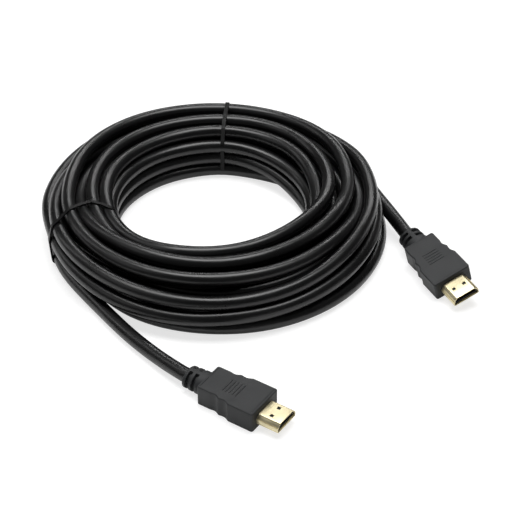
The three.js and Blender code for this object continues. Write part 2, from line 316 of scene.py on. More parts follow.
# Each turn runs clockwise from 215 degrees. A way point gives the angle round the coil in degrees, and
# there the turn's distance from the coil's axis and its height in millimetres. Right is 0, back 90, left
# 180 and front 270.
WINDING: tuple[Points, ...] = (
    # the outer turn on the table, from plug A's tail
    ((215, 82.3, 3.5), (180, 81.3, 3.5), (160, 81.8, 3.5), (140, 83.0, 3.5), (90, 82.4, 3.5),
     (20, 82.8, 3.5), (0, 84.7, 3.5), (330, 85.4, 3.5), (300, 85.6, 3.5), (285, 85.0, 3.5),
     (270, 83.6, 3.5), (250, 81.8, 3.9), (240, 81.4, 4.3)),
    # the turn that comes out at the right and bulges at the front
    ((215, 75.2, 9.8), (180, 73.6, 9.8), (90, 75.5, 10.2), (45, 78.0, 12.0), (20, 80.5, 14.8),
     (0, 81.7, 16.3), (330, 83.5, 14.0), (300, 85.0, 11.0), (270, 85.8, 9.3), (240, 84.8, 10.6)),
    # the upper turn of the outer side
    ((215, 82.7, 14.0), (180, 81.4, 14.6), (168, 82.0, 15.0), (150, 86.0, 15.6), (135, 86.3, 15.8),
     (105, 85.4, 16.5), (90, 84.0, 16.9), (60, 83.5, 17.5), (45, 82.5, 19.0), (20, 80.3, 21.5),
     (0, 78.9, 22.8), (340, 79.3, 22.6), (330, 78.8, 22.0), (315, 79.8, 19.5), (300, 81.5, 17.5),
     (270, 82.9, 16.7), (240, 82.2, 19.0)),
    # the turn that dives under the outer one at the back
    ((215, 81.2, 21.0), (200, 81.2, 20.8), (180, 78.7, 20.0), (135, 77.5, 17.2), (90, 76.0, 16.9),
     (45, 75.0, 17.2), (0, 73.0, 18.3), (345, 72.0, 19.8), (330, 70.5, 22.0), (315, 72.0, 23.0),
     (300, 73.4, 23.3), (270, 73.4, 23.3), (240, 74.1, 23.3)),
    # the outer turn on top at the back
    ((215, 73.5, 23.3), (200, 73.5, 23.4), (180, 72.4, 23.2), (165, 75.0, 23.1), (150, 78.0, 22.8),
     (120, 79.6, 23.0), (90, 79.7, 23.0), (60, 79.4, 23.0), (45, 75.9, 23.4), (30, 73.1, 23.6),
     (15, 70.4, 24.0), (0, 68.2, 24.0), (340, 64.7, 24.3), (320, 62.3, 24.8), (300, 62.3, 24.9),
     (270, 64.3, 24.9), (240, 63.8, 24.6)),
    # the turn that rises at the left tie
    ((215, 64.8, 24.3), (200, 66.0, 23.5), (190, 66.3, 22.0), (180, 66.6, 20.0), (150, 69.8, 17.6),
     (120, 69.5, 17.3), (90, 68.5, 17.2), (45, 67.5, 17.2), (0, 66.0, 17.2), (330, 61.0, 18.3),
     (300, 58.2, 20.5), (270, 58.3, 21.0), (240, 60.0, 20.6)),
    # the middle turn on top at the back
    ((215, 60.6, 21.6), (200, 60.6, 23.0), (180, 60.9, 23.4), (165, 63.4, 23.4), (150, 66.2, 23.3),
     (120, 67.6, 23.4), (90, 66.5, 23.8), (60, 66.9, 23.6), (45, 64.8, 23.6), (30, 62.2, 23.6),
     (0, 58.4, 23.6), (340, 53.0, 24.0), (320, 50.4, 23.6), (295, 50.5, 22.8), (270, 51.6, 21.7),
     (240, 54.4, 19.9)),
    # the inner turn on top at the back
    ((215, 55.6, 19.4), (195, 55.4, 21.2), (180, 55.2, 23.0), (150, 55.5, 22.9), (120, 56.5, 22.7),
     (90, 57.5, 22.7), (45, 57.5, 22.4), (30, 56.3, 21.8), (0, 54.2, 18.0), (340, 52.2, 16.8),
     (315, 51.5, 16.0), (270, 51.8, 15.4), (240, 52.4, 14.2)),
    # down the wall of the bore
    ((215, 52.6, 13.6), (190, 53.0, 15.6), (172, 52.6, 16.4), (150, 51.4, 16.8), (90, 51.3, 17.6),
     (45, 51.3, 15.0), (0, 51.2, 11.2), (270, 51.6, 9.6), (240, 54.0, 8.9)),
    ((215, 54.4, 8.5), (190, 53.2, 9.3), (172, 52.8, 9.6), (150, 51.4, 9.8), (90, 50.9, 10.4),
     (60, 50.3, 9.8), (45, 49.6, 7.6), (33, 49.6, 5.0), (20, 50.8, 3.7), (0, 51.6, 3.5),
     (270, 53.0, 3.5)),
    # outwards along the table
    ((215, 52.0, 3.5), (190, 53.0, 3.5), (172, 52.6, 3.5), (150, 50.8, 3.5), (90, 50.0, 3.5),
     (60, 50.4, 3.5), (45, 53.8, 3.5), (33, 56.2, 3.5), (20, 57.8, 3.5), (0, 58.4, 3.5),
     (270, 60.0, 3.5)),
    ((215, 59.5, 3.5), (90, 59.0, 3.5), (45, 61.5, 3.5), (0, 66.2, 3.5), (270, 67.4, 3.5)),
    ((215, 67.0, 3.5), (90, 66.8, 3.5), (45, 69.0, 3.5), (0, 74.0, 3.5), (270, 75.0, 3.5)),
    # back inwards above that
    ((215, 74.8, 3.5), (90, 74.6, 3.5), (45, 75.5, 5.5), (0, 76.0, 10.0), (270, 76.5, 10.5),
     (240, 73.0, 11.0)),
    ((215, 67.4, 10.3), (90, 67.6, 10.2), (0, 68.0, 10.2), (270, 68.0, 10.3)),
    ((215, 60.0, 10.3), (90, 59.4, 10.3), (0, 59.2, 10.4), (270, 59.5, 10.3)),
    # and outwards again, to plug B's tail
    ((215, 59.0, 16.5), (90, 60.0, 16.9), (0, 60.5, 16.2), (270, 67.0, 17.3)),
    ((215, 70.2, 17.0), (195, 74.5, 14.2), (180, 78.0, 10.6), (150, 81.0, 10.2), (120, 83.3, 10.0),
     (90, 83.8, 10.1), (45, 83.0, 10.3), (23, 82.3, 10.3)),
)


# The cable


@dataclass
class Jacket:
    """The cable itself: seventeen and a half turns in four layers, and a tail to each plug.

    Attributes:
        diameter: cable diameter.
        leave_a: angle round the coil where plug A's tail leaves, in degrees.
        leave_b: angle round the coil where plug B's tail leaves, in degrees.
        stations: points on each turn.
        settle_rounds, push_rounds: rounds of settling, and of pushing apart in each.
        hold: share of the way back to its way points that a turn moves in a round.
        end_hold, end_stations: the firmer hold at the coil's ends, and the stations it fades over.
        stiffness, sag: share of a bend that is straightened, and how far the turns sink, in a round.
        push: share of an overlap that each of two turns gives way in a push.
        wander, seed: size and seed of the turns' small wanderings.
        tie_angles, tie_reach: where the ties are and how far their pull reaches, in degrees.
        tie_lift, tie_draw: how far a tie lifts the turns, and by what share it draws them together.
        spacing: distance kept between turns, in diameters.
        squeeze, squeeze_at: share by which turns are pressed together, and where, in degrees.
        inner_limit: least distance of a turn from the coil's axis.
        tube_sides, tube_step: sides of the tube, and distance between its rings.
        core_lobes, core_lay, core_relief: number, twist length and height of the cores' bulges.
        seat_depth: how far the cable goes into a plug's strain relief.
        route_a: plug A's tail from the coil to the plug, as offsets from the coil's axis.
        route_b: plug B's tail from the coil to the plug, as offsets from the coil's axis.
        centre: where the coil's axis meets the table.
        coil_r, coil_z: distance from the coil's axis and height of each settled station.
    """

    diameter: float = 0.0070
    leave_a: float = 215.0
    leave_b: float = 23.0
    stations: int = 90
    settle_rounds: int = 260
    push_rounds: int = 3
    hold: float = 0.05
    end_hold: float = 0.6
    end_stations: int = 12
    stiffness: float = 0.2
    push: float = 0.42
    sag: float = 0.00001
    wander: float = 0.0004
    seed: int = 11
    tie_angles: tuple[float, float] = (86.0, 194.5)
    tie_reach: float = 9.0
    tie_lift: float = 0.0008
    tie_draw: float = 0.05
    spacing: float = 1.004
    squeeze: float = 0.09
    squeeze_at: tuple[float, float] = (209.0, 36.0)
    inner_limit: float = 0.0493
    tube_sides: int = 24
    tube_step: float = 0.0042
    core_lobes: int = 3
    core_lay: float = 0.055
    core_relief: float = 0.00004
    seat_depth: float = 0.0015
    route_a: Points = (
        (-0.0471, -0.0761, 0.0035), (-0.0385, -0.0878, 0.0035), (-0.0331, -0.0941, 0.0035),
        (-0.0274, -0.1006, 0.0036), (-0.0222, -0.1064, 0.0040), (-0.0168, -0.1124, 0.0047),
    )
    route_b: Points = (
        (0.0856, 0.0089, 0.0103), (0.0895, -0.0003, 0.0102), (0.0927, -0.0078, 0.0099),
    )
    centre: np.ndarray = field(init=False)
    coil_r: np.ndarray = field(init=False)
    coil_z: np.ndarray = field(init=False)

    def __post_init__(self) -> None:
        low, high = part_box("cable_coil")
        self.centre = np.array([(low.x + high.x) / 2, (low.y + high.y) / 2, 0.0])
        self.settle()

    @property
    def radius(self) -> float:
        """Half the cable's diameter."""
        return self.diameter / 2

    @property
    def last(self) -> int:
        """Number of the last station on the coil."""
        turned = (self.leave_a - self.leave_b) % 360 / 360
        return round((len(WINDING) - 1 + turned) * self.stations)

    def angle_at(self, station: np.ndarray) -> np.ndarray:
        """Angle round the coil at each station, in radians."""
        return math.radians(self.leave_a) - 2 * math.pi * station / self.stations

    def slow_noise(self, random: np.random.Generator, per_turn: float) -> np.ndarray:
        """Smooth random values along the coil, about 1 in size.

        Args:
            random: seeded source.
            per_turn: independent values in each turn.

        Returns:
            One value for each station.
        """
        count = int(self.last / self.stations * per_turn) + 4
        knots = random.normal(size=count)
        spots = np.linspace(0, count - 1, self.last + 1)
        low = np.clip(np.floor(spots).astype(int), 0, count - 2)
        share = spots - low
        share = share * share * (3 - 2 * share)
        return knots[low] * (1 - share) + knots[low + 1] * share

    def planned(self) -> tuple[np.ndarray, np.ndarray]:
        """Carries the winding's way points on to every station.

        Returns:
            Distance from the coil's axis and height, at each station.
        """
        ways = []
        for turn, points in enumerate(WINDING):
            for angle, radius, height in points:
                run = (self.leave_a - angle) % 360 / 360
                ways.append(((turn + run) * self.stations, radius / 1000, height / 1000))
        place, r, z = np.array(ways).T
        spots = np.arange(self.last + 1)
        smooth = np.hanning(9) / np.hanning(9).sum()
        out = []
        for values in (r, z):
            full = np.pad(np.interp(spots, place, values), 4, mode="edge")
            out.append(np.convolve(full, smooth, "valid"))
        return out[0], out[1]

    def settle(self) -> None:
        """Lets the turns push each other apart, sag and be drawn in by the ties.

        The stations are laid out as turns by planes. Only turns in the same plane push each other, and a
        turn that ends before a plane is parked far away.
        """
        random = np.random.default_rng(self.seed)
        want_r, want_z = self.planned()
        spots = np.arange(self.last + 1)
        free = np.clip(np.minimum(spots, self.last - spots) / self.end_stations, 0, 1)
        want_r = want_r + free * self.wander * self.slow_noise(random, 5.0)
        want_z = want_z + free * self.wander * self.slow_noise(random, 5.0)
        angles = np.degrees(self.angle_at(spots))
        pull = np.zeros(len(spots))
        for tie in self.tie_angles:
            pull = np.maximum(pull, bell(angles, tie, self.tie_reach))
        middle = want_r.mean()
        want_r = middle + (want_r - middle) * (1 - self.tie_draw * pull)
        hold = self.hold * (1 + 2 * pull) + self.end_hold * (1 - free) ** 2
        floor = self.radius + self.tie_lift * pull
        rows, planes = len(WINDING), self.stations
        apart = self.diameter * (self.spacing - self.squeeze * bell(angles[:planes], *self.squeeze_at))
        index = np.arange(rows * planes).reshape(rows, planes)
        real = index <= self.last
        index = np.where(real, index, 0)
        parked = 10.0 + np.arange(rows)[:, None] * np.ones(planes)
        same = np.arange(rows)
        r, z = want_r.copy(), want_z.copy()

        def offsets() -> tuple[np.ndarray, np.ndarray]:
            """Offset and distance of every turn from every other one, in each plane."""
            spot = np.stack([np.where(real, r[index], parked), np.where(real, z[index], 0)], -1)
            offset = spot[:, None] - spot[None]
            return offset, np.sqrt((offset ** 2).sum(-1)) + 1e-9

        for _ in range(self.settle_rounds):
            for values, wanted in ((r, want_r), (z, want_z)):
                bend = np.zeros_like(values)
                bend[1:-1] = values[:-2] - 2 * values[1:-1] + values[2:]
                values += self.stiffness * bend + hold * (wanted - values)
            z -= self.sag
            for _ in range(self.push_rounds):
                offset, distance = offsets()
                short = np.clip(apart - distance, 0, None)
                short[same, same] = 0
                push = (offset / distance[..., None] * short[..., None]).sum(1) * self.push
                r[index[real]] += push[..., 0][real]
                z[index[real]] += push[..., 1][real]
                z = np.maximum(z, floor)
                r = np.maximum(r, self.inner_limit)
        self.coil_r, self.coil_z = r, z
        distance = offsets()[1]
        distance[same, same] = 1
        log.info("coil settled: closest turns %.2f mm, %.1f%% pressed, top %.1f mm, radii %.1f to %.1f mm",
                 distance.min() * 1e3, 100 * (distance < self.diameter * 0.97).any(1).mean(),
                 (z.max() + self.radius) * 1e3, (r.min() - self.radius) * 1e3,
                 (r.max() + self.radius) * 1e3)

    def section_at(self, angle: float) -> np.ndarray:
        """Strand centres in the coil's section.

        Args:
            angle: angle round the coil, in degrees.

        Returns:
            Distance from the coil's axis and height of each strand there.
        """
        place = (self.leave_a - angle) % 360 / 360 * self.stations
        found = np.arange(place, self.last, self.stations)
        spots = np.arange(self.last + 1)
        return np.stack([np.interp(found, spots, self.coil_r), np.interp(found, spots, self.coil_z)], 1)

    def centreline(self, end_a: np.ndarray, end_b: np.ndarray) -> np.ndarray:
        """The whole cable's centreline from plug A to plug B.

        Args:
            end_a: two points on plug A's axis, inside its strain relief and a little out of it.
            end_b: the same for plug B.

        Returns:
            Evenly spaced points.
        """
        spots = np.arange(self.last + 1)
        angle = self.angle_at(spots)
        coil = np.stack([self.coil_r * np.cos(angle), self.coil_r * np.sin(angle), self.coil_z], 1)
        tail_a = np.array(self.route_a)[::-1]
        tail_b = np.array(self.route_b)
        points = np.concatenate([end_a - self.centre, tail_a, coil, tail_b, end_b[::-1] - self.centre])
        points = resample(points, self.tube_step)
        for _ in range(6):
            points[2:-2] = 0.25 * points[1:-3] + 0.5 * points[2:-2] + 0.25 * points[3:-1]
        return resample(points, self.tube_step) + self.centre

    def build(self, finish: bpy.types.Material, end_a: np.ndarray, end_b: np.ndarray
              ) -> tuple[bpy.types.Object, np.ndarray]:
        """Builds the jacket's tube.

        Args:
            finish: its material.
            end_a: two points on plug A's axis, as for centreline.
            end_b: the same for plug B.

        Returns:
            The piece and the path that it follows.
        """
        path = self.centreline(end_a, end_b)
        along = unit(np.gradient(path, axis=0))
        side = unit(np.cross(along, (0, 0, 1)))
        up = np.cross(side, along)
        run = run_along(path)
        around = np.linspace(0, 2 * math.pi, self.tube_sides, endpoint=False)
        lobes = np.sin(self.core_lobes * around[None] + 2 * math.pi * run[:, None] / self.core_lay)
        reach = self.radius + self.core_relief * lobes
        section = np.stack([np.cos(around) * reach, np.sin(around) * reach], -1)
        vertices, faces = sweep(path, section, side, up)
        made = mesh_piece("cable_jacket", vertices, faces, finish, "cable_jacket", 60)
        log.info("cable length %.3f m", run[-1])
        return made, path


def bell(angles: np.ndarray, middle: float, reach: float) -> np.ndarray:
    """A soft bump round the coil.

    Args:
        angles: angles round the coil, in degrees.
        middle: where the bump is highest.
        reach: how far from there it has fallen to about a third.

    Returns:
        Its height at each angle, at most 1.
    """
    away = (angles - middle + 180) % 360 - 180
    return np.exp(-(away / reach) ** 2)


def resample(points: np.ndarray, step: float) -> np.ndarray:
    """Spaces points evenly on the smooth curve through them.

    Args:
        points: the curve's points.
        step: distance wanted between the new points.

    Returns:
        The new points, first and last kept.
    """
    before, after = points[0] * 2 - points[1], points[-1] * 2 - points[-2]
    guide = np.concatenate([[before], points, [after]])
    gaps = np.sqrt(np.linalg.norm(np.diff(guide, axis=0), axis=1))
    dense = []
    for i in range(len(points) - 1):
        p0, p1, p2, p3 = guide[i:i + 4]
        t0, t1, t2 = gaps[i:i + 3]
        tangent1 = ((p1 - p0) / t0 - (p2 - p0) / (t0 + t1) + (p2 - p1) / t1) * t1
        tangent2 = ((p2 - p1) / t1 - (p3 - p1) / (t1 + t2) + (p3 - p2) / t2) * t1
        for t in np.arange(0, 1, 0.25):
            a, b = t * t, t * t * t
            dense.append((2 * b - 3 * a + 1) * p1 + (b - 2 * a + t) * tangent1
                         + (3 * a - 2 * b) * p2 + (b - a) * tangent2)
    dense.append(points[-1])
    dense = np.array(dense)
    run = run_along(dense)
    spots = np.linspace(0, run[-1], max(2, round(run[-1] / step) + 1))
    return np.stack([np.interp(spots, run, dense[:, k]) for k in range(3)], 1)


@dataclass
class TwistTie:
    """A flat coated wire pulled round the bundle, its two ends twisted together.

    Attributes:
        name: piece name.
        node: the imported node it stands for.
        angle: its place round the coil, in degrees.
        side: the side its twisted ends lie on.
        height: height of the twist.
        width: width of the flat wire.
        thickness: thickness of its edges.
        core: how far the wire in its middle stands out beyond that.
        bite: how far it presses into the jacket.
        twist_length: length of the twisted ends.
        twist_wire: thickness of each twisted end.
        twist_turns: turns of the twist.
        lean: distances from the coil's axis, and by how many degrees the band lies off its angle there.
    """

    name: str
    node: str
    angle: float
    side: Side
    height: float
    width: float = 0.0022
    thickness: float = 0.0007
    core: float = 0.0003
    bite: float = 0.0002
    twist_length: float = 0.008
    twist_wire: float = 0.0010
    twist_turns: float = 2.5
    lean: tuple[tuple[float, float], ...] = ((0.05, 0.0),)

    def lean_at(self, radius: np.ndarray) -> np.ndarray:
        """Degrees that the band lies off its angle at a distance from the coil's axis."""
        return np.interp(radius, *zip(*self.lean))

    def outline(self, strands: np.ndarray, reach: float) -> np.ndarray:
        """The band's line, pulled straight from strand to strand.

        Args:
            strands: strand centres in the section.
            reach: distance of the line from the strands' centres.

        Returns:
            Points on the closed line, anticlockwise, in the section.
        """
        facing = np.radians(np.arange(0, 360, 6))
        out = np.stack([np.cos(facing), np.sin(facing)], 1)
        touched = strands[np.argmax(strands @ out.T, axis=0)]
        line = touched + out * reach
        closed = np.concatenate([line, line[:1]])
        run = run_along(closed)
        spots = np.linspace(0, run[-1], 150, endpoint=False)
        return np.stack([np.interp(spots, run, closed[:, k]) for k in range(2)], 1)

    def build(self, jacket: Jacket, finish: bpy.types.Material) -> bpy.types.Object:
        """Builds the tie round the settled turns.

        Args:
            jacket: the settled cable.
            finish: its material.

        Returns:
            The piece.
        """
        strands = jacket.section_at(self.angle)
        leant = [jacket.section_at(self.angle + float(turn)) for turn in self.lean_at(strands[:, 0])]
        strands = np.array([section[i] for i, section in enumerate(leant)])
        reach = jacket.radius - self.bite + self.thickness / 2
        line = self.outline(strands, reach)
        line[:, 1] = np.maximum(line[:, 1], self.thickness / 2 + self.core)
        turn = math.radians(self.angle)
        outward = np.array([math.cos(turn), math.sin(turn), 0])
        along = np.array([-math.sin(turn), math.cos(turn), 0])
        upward = np.array([0.0, 0, 1])
        turns = np.radians(self.angle + self.lean_at(line[:, 0]))
        away, height = line.T
        path = jacket.centre + np.stack([away * np.cos(turns), away * np.sin(turns), height], 1)
        run = unit(np.roll(path, -1, 0) - np.roll(path, 1, 0))
        side = unit(along - run * (run @ along)[:, None])
        up = np.cross(run, side)
        ridge = 1 + 2 * self.core / self.thickness
        right = [(0.35, -1), (0.9, -1), (1, -0.6), (1, 0.6), (0.9, 1), (0.38, 1), (0.22, ridge * 0.9)]
        section = np.array([(0, -1), *right, (0, ridge), *((-x, y) for x, y in right[::-1])])
        section *= (self.width / 2, self.thickness / 2)
        skins = [sweep(path, section, side, up, closed_run=True)]
        reach_out = strands[:, 0].max() if self.side is Side.OUTSIDE else strands[:, 0].min()
        reach_out += self.side.value * (jacket.radius + self.twist_wire * 0.8)
        root = jacket.centre + outward * reach_out + upward * self.height
        steps = np.linspace(0, 1, 36)
        ring = np.linspace(0, 2 * math.pi, 8, endpoint=False)
        shape = np.repeat([np.stack([np.cos(ring), np.sin(ring)], 1) * self.twist_wire / 2], len(steps), 0)
        shape[[0, -1]] *= 0.6
        for phase in (0, math.pi):
            swing = phase + 2 * math.pi * self.twist_turns * steps
            wire = (root - along * ((steps[:, None] - 0.12) * self.twist_length)
                    + outward * (np.cos(swing) * self.twist_wire / 2)[:, None]
                    + upward * (np.sin(swing) * self.twist_wire / 2)[:, None])
            skins.append(sweep(wire, shape, np.broadcast_to(outward, wire.shape),
                               np.broadcast_to(upward, wire.shape)))
        made = mesh_piece(self.name, *merged(*skins), finish, "twist_tie", 50)
        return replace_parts(made, self.node)


# How the left tie bends over the turns in the photo, as for TwistTie.lean
LEFT_LEAN = ((0.053, 5.0), (0.057, 1.0), (0.062, -1.5), (0.068, 0.5), (0.074, 3.0), (0.080, 5.5),
             (0.086, 6.5))


@dataclass
class Plug:
    """One moulded plug: body and strain relief in one piece, a metal shell, and what is inside it.

    Attributes:
        prefix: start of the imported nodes' names.
        yaw: heading of the plug, in degrees.
        pitch: how far its nose points down, in degrees.
        roll: how far it lies rolled on one edge, in degrees.
        body_length, body_width, body_height, back_width: the body, and its width at the back.
        edge, corner: rounding of its edges, and of its corners in plan.
        scoop_start, cusp_at, scoop_end: where its finger scoops start, meet and end, from the front.
        scoop_depth, cusp_inset: how deep they are, and how far in they meet.
        neck_half_width, neck_half_height, neck_length: the strain relief's oval and smooth part.
        slot_width, slot_depth, collar_width: its slots, and the collars between them.
        collar_step, rib_half: step down to each collar, and half of a rib across the slots.
        shell_width, shell_height, shell_top, shell_shoulder: the shell, its width on top, and the
            height of its shoulders.
        shell_corner, shell_wall: its rounding and its wall.
        shell_reach, shell_seat: how far it goes out of the body and into it.
        latch_hole, latch_spacing, latch_at: size and place of its latch holes.
        grip_bars, grip_pitch, grip_at: the grip's bars, their distance and their middle.
        grip_width, grip_bar, grip_rise: length, width and height of a bar.
        place: where the plug's own frame lies.
    """

    prefix: str
    yaw: float
    pitch: float = 0.0
    roll: float = 0.0
    body_length: float = 0.0307
    body_width: float = 0.0203
    body_height: float = 0.0104
    edge: float = 0.0006
    corner: float = 0.0011
    back_width: float = 0.0167
    scoop_start: float = 0.0128
    cusp_at: float = 0.0186
    cusp_inset: float = 0.0009
    scoop_end: float = 0.0238
    scoop_depth: float = 0.0007
    neck_half_width: float = 0.0063
    neck_half_height: float = 0.0051
    neck_length: float = 0.0032
    slot_width: float = 0.0019
    slot_depth: float = 0.0018
    collar_width: float = 0.0016
    collar_step: float = 0.00035
    rib_half: float = 0.0011
    shell_width: float = 0.0139
    shell_height: float = 0.00445
    shell_top: float = 0.0106
    shell_shoulder: float = 0.00265
    shell_corner: float = 0.00045
    shell_wall: float = 0.00035
    shell_reach: float = 0.0112
    shell_seat: float = 0.0037
    latch_hole: float = 0.0017
    latch_spacing: float = 0.0057
    latch_at: float = 0.0053
    grip_bars: int = 5
    grip_pitch: float = 0.0017
    grip_width: float = 0.0088
    grip_bar: float = 0.0008
    grip_rise: float = 0.00024
    grip_at: float = -0.0165
    place: Matrix = field(init=False)

    def __post_init__(self) -> None:
        turn = Euler((math.radians(self.roll), math.radians(self.pitch), math.radians(self.yaw)), "XYZ")
        spin = turn.to_matrix()
        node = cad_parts[f"{self.prefix}_overmould"]
        local = np.array([spin.transposed() @ v.co for v in node.data.vertices])
        low, high = local.min(0), local.max(0)
        origin = spin @ Vector((high[0], (low[1] + high[1]) / 2, (low[2] + high[2]) / 2))
        self.place = Matrix.Translation(origin) @ spin.to_4x4()

    @property
    def relief_length(self) -> float:
        """Length of the strain relief behind the body."""
        return self.neck_length + 2 * (self.slot_width + self.collar_width)

    def at(self, points: np.ndarray) -> np.ndarray:
        """Moves points from the plug's own frame, +X out of its mouth, to where it lies."""
        spin = np.array(self.place.to_3x3())
        return np.asarray(points) @ spin.T + np.array(self.place.translation)

    def cable_end(self, depth: float, lead: float = 0.005) -> np.ndarray:
        """Two points on the plug's axis for the cable.

        Args:
            depth: how far the cable goes into the strain relief.
            lead: how far outside it the second point is.

        Returns:
            The inner point and the outer point.
        """
        back = -self.body_length - self.relief_length
        return self.at(np.array([(back + depth, 0, 0), (back - lead, 0, 0)]))

    def body_outline(self) -> np.ndarray:
        """Plan of the body's left side, from the front centre to the back centre."""
        front, back = self.body_width / 2, self.back_width / 2
        bend = np.linspace(0, math.pi / 2, 6)
        nose = np.stack([-self.corner + self.corner * np.cos(bend),
                         front - self.corner + self.corner * np.sin(bend)], 1)
        wide = np.array([-self.scoop_start, front])
        cusp = np.array([-self.cusp_at, front - self.cusp_inset])
        narrow = np.array([-self.scoop_end, back])
        heel = np.stack([-self.body_length + self.corner - self.corner * np.sin(bend),
                         back - self.corner + self.corner * np.cos(bend)], 1)
        return np.concatenate([nose, self.scoop(wide, cusp)[:-1], self.scoop(cusp, narrow), heel])

    def scoop(self, start: np.ndarray, stop: np.ndarray) -> np.ndarray:
        """Points on a shallow hollow between two points of the outline, eased at its ends."""
        share = np.linspace(0, 1, 13)
        depth = self.scoop_depth * np.sin(math.pi * share) ** 1.3
        run = stop - start
        inward = np.array([run[1], -run[0]]) / np.hypot(*run)
        return start + share[:, None] * run - depth[:, None] * inward

    def body_skin(self) -> Skin:
        """The body as rings stacked from its underside to its top, with faces laid across both ends."""
        left = self.body_outline()
        outline = np.concatenate([left, left[::-1] * (1, -1)])
        ahead, behind = np.roll(outline, -1, 0), np.roll(outline, 1, 0)
        run = unit(ahead - behind)
        inward = np.stack([-run[:, 1], run[:, 0]], 1)
        if (inward[2] @ outline[2]) > 0:
            inward = -inward
        bend = np.linspace(0, math.pi / 2, 6)
        insets = np.concatenate([[self.edge * 2.2], self.edge * (1 - np.sin(bend))])
        heights = self.body_height / 2 - self.edge + self.edge * np.concatenate([[1], np.cos(bend)])
        below = list(zip(insets, -heights))
        skins = [np.column_stack([outline + inward * inset, np.full(len(outline), height)])
                 for inset, height in below + [(inset, -height) for inset, height in below[::-1]]]
        vertices, faces = loft(np.array(skins), caps=False)
        count = len(outline)
        for first in (0, (len(skins) - 1) * count):
            faces += [(first + i, first + i + 1, first + count - 2 - i, first + count - 1 - i)
                      for i in range(count // 2 - 1)]
        return vertices, faces

    def relief_skin(self) -> Skin:
        """The oval strain relief: a smooth neck, then two broken rings of slots between collars."""
        length = self.relief_length
        overlap, lip_length, rib_ease, slot_ease = 0.0008, 0.0006, 0.0004, 0.00022
        x = np.linspace(-overlap, length, 84)
        around = np.linspace(0, 2 * math.pi, 72, endpoint=False)
        waist = -self.collar_step * np.clip((x - self.neck_length) / (2.8 * self.slot_width), 0, 2)
        lip = np.clip((x - (length - lip_length)) / lip_length, 0, 1)
        waist = waist - lip_length * (1 - np.sqrt(1 - lip ** 2))
        depth = np.zeros((len(x), len(around)))
        across = np.abs(np.sin(around)) * self.neck_half_width
        rib = np.where(np.abs(np.cos(around)) > 0.3, np.clip((across - self.rib_half) / rib_ease, 0, 1), 1)
        for k in range(2):
            start = self.neck_length + k * (self.slot_width + self.collar_width)
            inside = np.minimum(x - start, start + self.slot_width - x)
            depth += np.clip(inside / slot_ease, 0, 1)[:, None] * rib[None] * self.slot_depth
        inset = waist[:, None] - depth
        rings = np.stack([np.repeat(-self.body_length - x[:, None], len(around), 1),
                          (self.neck_half_width + inset) * np.sin(around),
                          (self.neck_half_height + inset * 0.9) * np.cos(around)], -1)
        return loft(rings)

    def grip_skin(self) -> Skin:
        """Low rounded grip bars across the top of the body."""
        bars = []
        top, sunk = self.body_height / 2, 0.00005
        for k in range(self.grip_bars):
            middle = self.grip_at + (k - (self.grip_bars - 1) / 2) * self.grip_pitch
            bend = np.linspace(0, math.pi, 7)
            sideways = np.linspace(-1, 1, 15)
            ease = np.sqrt(np.clip(1 - np.abs(sideways) ** 8, 0.02, 1))
            rings = np.stack([
                np.stack([middle + self.grip_bar / 2 * np.cos(bend) * e,
                          np.full(len(bend), s * self.grip_width / 2),
                          top - sunk + (self.grip_rise * e + sunk) * np.sin(bend)], 1)
                for s, e in zip(sideways, ease)])
            bars.append(loft(rings))
        return merged(*bars)

    def shell_outline(self, inset: float) -> np.ndarray:
        """Section of the shell, seen from its mouth: wide flat bottom, hollow shoulders, narrow top.

        Args:
            inset: distance inside the outer face.

        Returns:
            Points across and up, anticlockwise.
        """
        half, top = self.shell_width / 2 - inset, self.shell_top / 2 - inset
        low, high = -self.shell_height / 2 + inset, self.shell_height / 2 - inset
        shoulder = -self.shell_height / 2 + self.shell_shoulder - inset / 2
        reach, c = half - top, self.shell_corner
        key = [(half - c, low), (half - c * 0.62, low + c * 0.08), (half - c * 0.3, low + c * 0.3),
               (half - c * 0.08, low + c * 0.62), (half, low + c), (half, shoulder - 0.0003),
               (half - reach * 0.08, shoulder), (half - reach * 0.18, shoulder - 0.0004),
               (half - reach * 0.3, shoulder + (high - shoulder) * 0.12),
               (top + reach * 0.42, shoulder + (high - shoulder) * 0.52),
               (top + reach * 0.14, high - c * 1.2), (top, high - c * 0.8), (top - c * 0.15, high - c * 0.5),
               (top - c * 0.5, high - c * 0.12), (top - c, high)]
        right = np.array(key)
        return np.concatenate([right, right[::-1] * (-1, 1)])

    def shell_skin(self) -> Skin:
        """The shell: outer face out to the mouth, its rounded lip, and the inner face back."""
        round_lip = self.shell_wall / 2
        stations = [(0.0, x) for x in (-self.shell_seat, 0.0, self.shell_reach - round_lip)]
        for turn in np.linspace(0.25, 1, 4) * math.pi:
            stations.append((round_lip * (1 - math.cos(turn)),
                             self.shell_reach - round_lip * (1 - math.sin(turn))))
        stations.append((2 * round_lip, -self.shell_seat))
        outlines = [(self.shell_outline(inset), x) for inset, x in stations]
        rings = [np.column_stack([np.full(len(outline), x), outline]) for outline, x in outlines]
        return loft(np.array(rings), closed_run=True)

